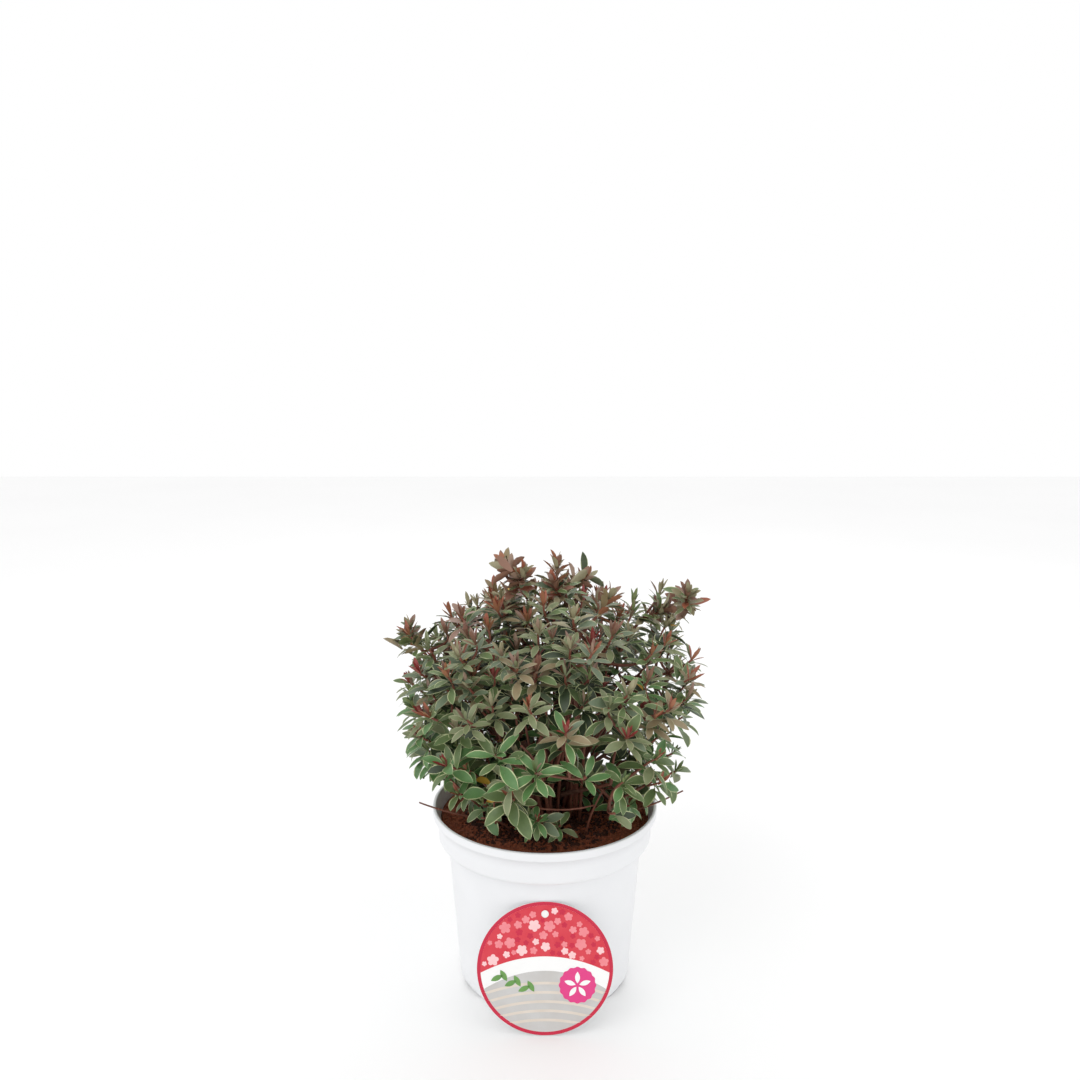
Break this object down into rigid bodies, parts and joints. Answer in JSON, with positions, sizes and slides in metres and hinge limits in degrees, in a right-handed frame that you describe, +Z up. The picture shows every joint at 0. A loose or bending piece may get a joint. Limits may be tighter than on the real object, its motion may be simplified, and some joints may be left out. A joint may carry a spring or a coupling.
{
  "type": "azalea shrub in a nursery pot",
  "caption": "Variegated evergreen azalea with a broad domed crown on many thin stems, in a round white nursery pot with a blank-design round tag pinned to its front.",
  "frame": {"origin": "middle of the pot's flat underside", "axes": "+Z up along the pot's axis, -Y the front with the tag, +X the right side as seen from the front"},
  "size_m": [0.3243, 0.3168, 0.449],
  "materials": {
    "pot_plastic": "white moulded polypropylene, slightly cool, soft satin",
    "potting_mix": "coarse red-brown peat and bark, moist, matt",
    "tag_card": null,
    "pin_plastic": "white plastic push pin",
    "bark": "thin red-brown bark, finely fissured, matt",
    "foliage": "small leaves, grey-green to bronze with thin cream margins, soft satin, red young tips"
  },
  "bodies": {
    "root": {"pot": "pot_plastic", "potting_mix": "potting_mix", "tag": "tag_card", "tag_pin": "pin_plastic", "trunk": "bark", "bough_top": "bark", "bough_right": "bark", "bough_back_right": "bark", "bough_back_left": "bark", "bough_left": "bark", "bough_front_left": "bark", "bough_front_right": "bark", "bough_front": "bark", "bough_low_right": "bark", "bough_low_back_right": "bark", "bough_low_back": "bark", "bough_low_back_left": "bark", "bough_low_left": "bark", "bough_low_front_left": "bark", "bough_low_front": "bark", "foliage_top": "foliage", "foliage_right": "foliage", "foliage_back_right": "foliage", "foliage_back_left": "foliage", "foliage_left": "foliage", "foliage_front_left": "foliage", "foliage_front_right": "foliage", "foliage_front": "foliage", "foliage_low_right": "foliage", "foliage_low_back_right": "foliage", "foliage_low_back": "foliage", "foliage_low_back_left": "foliage", "foliage_low_left": "foliage", "foliage_low_front_left": "foliage", "foliage_low_front": "foliage"}
  },
  "joints": []
}
